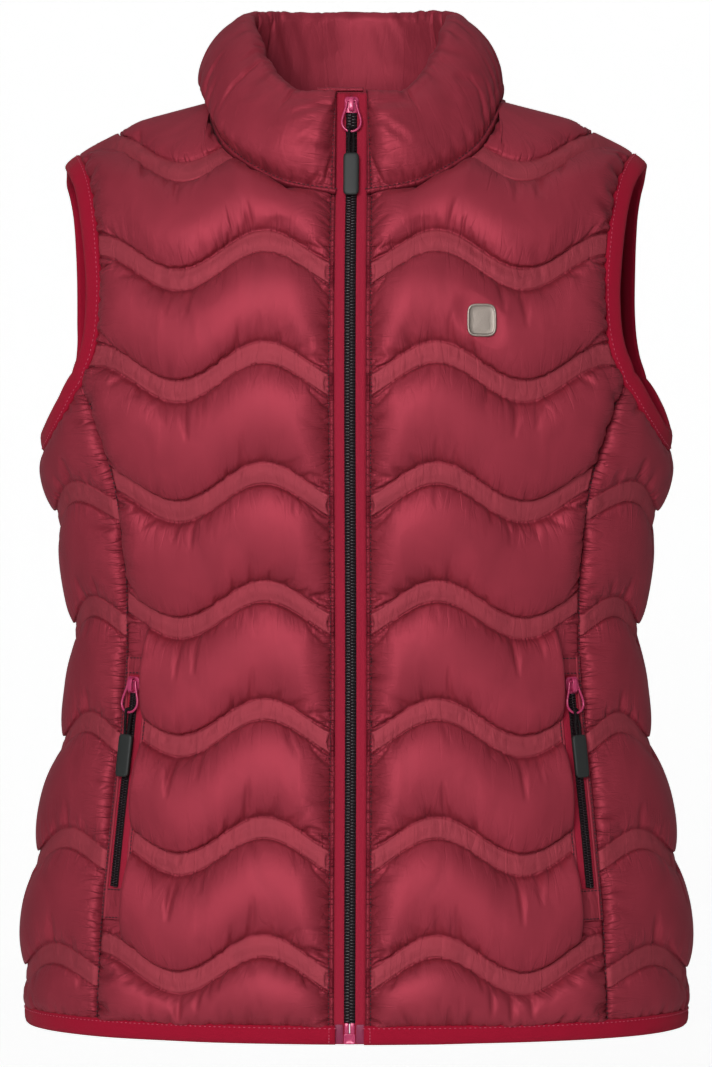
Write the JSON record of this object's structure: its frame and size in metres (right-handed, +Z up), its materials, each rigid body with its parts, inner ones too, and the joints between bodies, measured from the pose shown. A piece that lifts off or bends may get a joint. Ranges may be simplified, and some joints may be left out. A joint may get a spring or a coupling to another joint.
{
  "type": "quilted waistcoat",
  "caption": "Hollow padded sleeveless waistcoat with wave quilting, a stand collar, an open-ended centre zip and zipped side pockets.",
  "frame": {"origin": "middle of the neck, level with the high points of the shoulders, where the wearer's neck holds the waistcoat up", "axes": "+Z up, -Y out of the front, +X to the wearer's left"},
  "size_m": [0.4684, 0.2708, 0.7112],
  "materials": {
    "cloth": "satin raspberry nylon, quilted",
    "binding": "crimson elastic binding",
    "tape": "red woven zip tape",
    "teeth": "near-black teeth",
    "pull": "pink enamelled metal",
    "grip": "dark grey-green rubber",
    "badge": "matt pewter grey"
  },
  "bodies": {
    "garment": {"front_left": "cloth", "front_right": "cloth", "side_left": "cloth", "side_right": "cloth", "back": "cloth", "collar": "cloth", "zip_garage": "cloth", "pocket_welt_left": "cloth", "pocket_welt_right": "cloth", "armhole_binding_left": "binding", "armhole_binding_right": "binding", "hem_binding": "binding", "zip_tape_left": "tape", "zip_tape_right": "tape", "pocket_zip_left": "tape", "pocket_zip_right": "tape", "zip_chain": "teeth", "zip_slider": "pull", "zip_pin_box": "pull", "pocket_slider_left": "pull", "pocket_slider_right": "pull", "badge": "badge"},
    "zip_pull": {"zip_pull": "pull", "zip_pull_grip": "grip"},
    "pocket_pull_left": {"pocket_pull_left": "pull", "pocket_pull_left_grip": "grip"},
    "pocket_pull_right": {"pocket_pull_right": "pull", "pocket_pull_right_grip": "grip"}
  },
  "joints": [
    {"name": "zip_pull_swing", "type": "hinge", "parent": "garment", "child": "zip_pull", "pos_m": [0, -0.09267, -0.00141], "axis": [-1, 0, 0], "range_deg": [0, 145]},
    {"name": "pocket_pull_left_swing", "type": "hinge", "parent": "garment", "child": "pocket_pull_left", "pos_m": [0.15019, -0.07956, -0.39514], "axis": [-0.8645, -0.5012, -0.0375], "range_deg": [0, 145]},
    {"name": "pocket_pull_right_swing", "type": "hinge", "parent": "garment", "child": "pocket_pull_right", "pos_m": [-0.15019, -0.07956, -0.39514], "axis": [-0.8645, 0.5012, 0.0375], "range_deg": [0, 145]}
  ]
}
